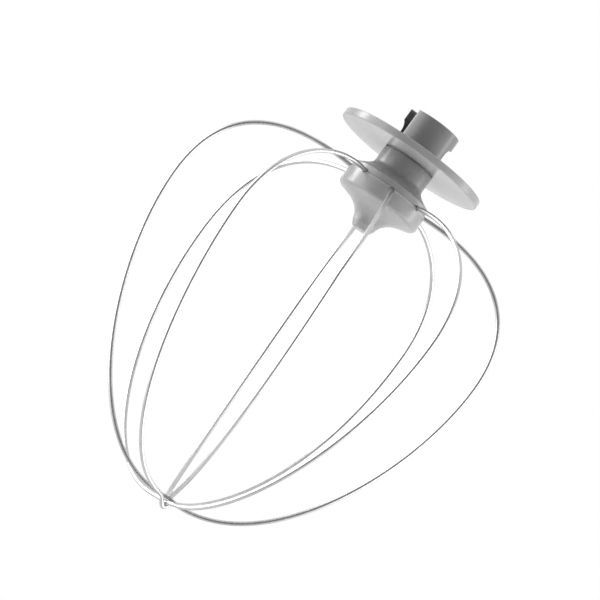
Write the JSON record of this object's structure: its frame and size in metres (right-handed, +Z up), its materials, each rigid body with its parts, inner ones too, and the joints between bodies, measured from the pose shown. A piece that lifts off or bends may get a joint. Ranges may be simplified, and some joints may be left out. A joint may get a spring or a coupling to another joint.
{
  "type": "mixer whisk",
  "caption": "Balloon whisk for a stand mixer: crossed wire loops clamped in a turned plastic hub with a bayonet drive socket and a loose splash disc.",
  "frame": {"origin": "on the whisk's axis, level with the top face of the splash disc, inside the drive socket", "axes": "+Z up along the axis toward the mixer's drive; wire loop 1 lies in the XZ plane and loop 2 in the YZ plane"},
  "size_m": [0.1315, 0.1314, 0.1664],
  "materials": {
    "hub_grey": "satin moulded grey plastic",
    "bell_milky": "glossy light grey plastic, slightly milky",
    "disc_pale": "glossy pale plastic",
    "wire_steel": "polished stainless steel wire",
    "screw_zinc": "zinc plated"
  },
  "bodies": {
    "hub": {"hub_body": "hub_grey", "hub_bell": "bell_milky", "hub_screw": "screw_zinc", "screw_washer": "screw_zinc", "wire_loop_1": "wire_steel", "wire_loop_2": "wire_steel", "wire_loop_3": "wire_steel", "wire_loop_4": "wire_steel"},
    "splash_disc": {"splash_disc": "disc_pale"}
  },
  "joints": [
    {"name": "splash_disc_turn", "type": "hinge", "parent": "hub", "child": "splash_disc", "pos_m": [0, 0, -0.0014], "axis": [0, 0, 1], "continuous": true}
  ]
}
